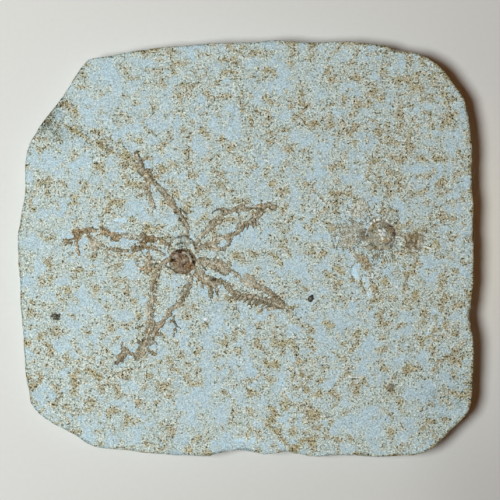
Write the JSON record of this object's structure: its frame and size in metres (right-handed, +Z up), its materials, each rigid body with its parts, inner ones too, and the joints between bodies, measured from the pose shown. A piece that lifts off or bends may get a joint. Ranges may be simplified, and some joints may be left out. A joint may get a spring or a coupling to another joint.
{
  "type": "fossil slab with feather star",
  "caption": "Flat slab of platy limestone with broken edges, with a fossil feather star and a small crushed sea urchin in low relief on its upper face.",
  "frame": {"origin": "middle of the slab's box, on the flat underside that it rests on", "axes": "+Z up, out of the face with the fossils; +X along the longest side, to the right as the slab is seen from above with the straight clipped corner at the upper left; +Y towards the upper edge"},
  "size_m": [0.1824, 0.1678, 0.0142],
  "materials": {
    "limestone": "matte pale blue-grey stone with ochre specks",
    "star_calcite": "matte ochre and brown calcite",
    "urchin_calcite": "matte tan calcite"
  },
  "bodies": {
    "root": {"slab": "limestone", "feather_star": "star_calcite", "small_urchin": "urchin_calcite"}
  },
  "joints": []
}
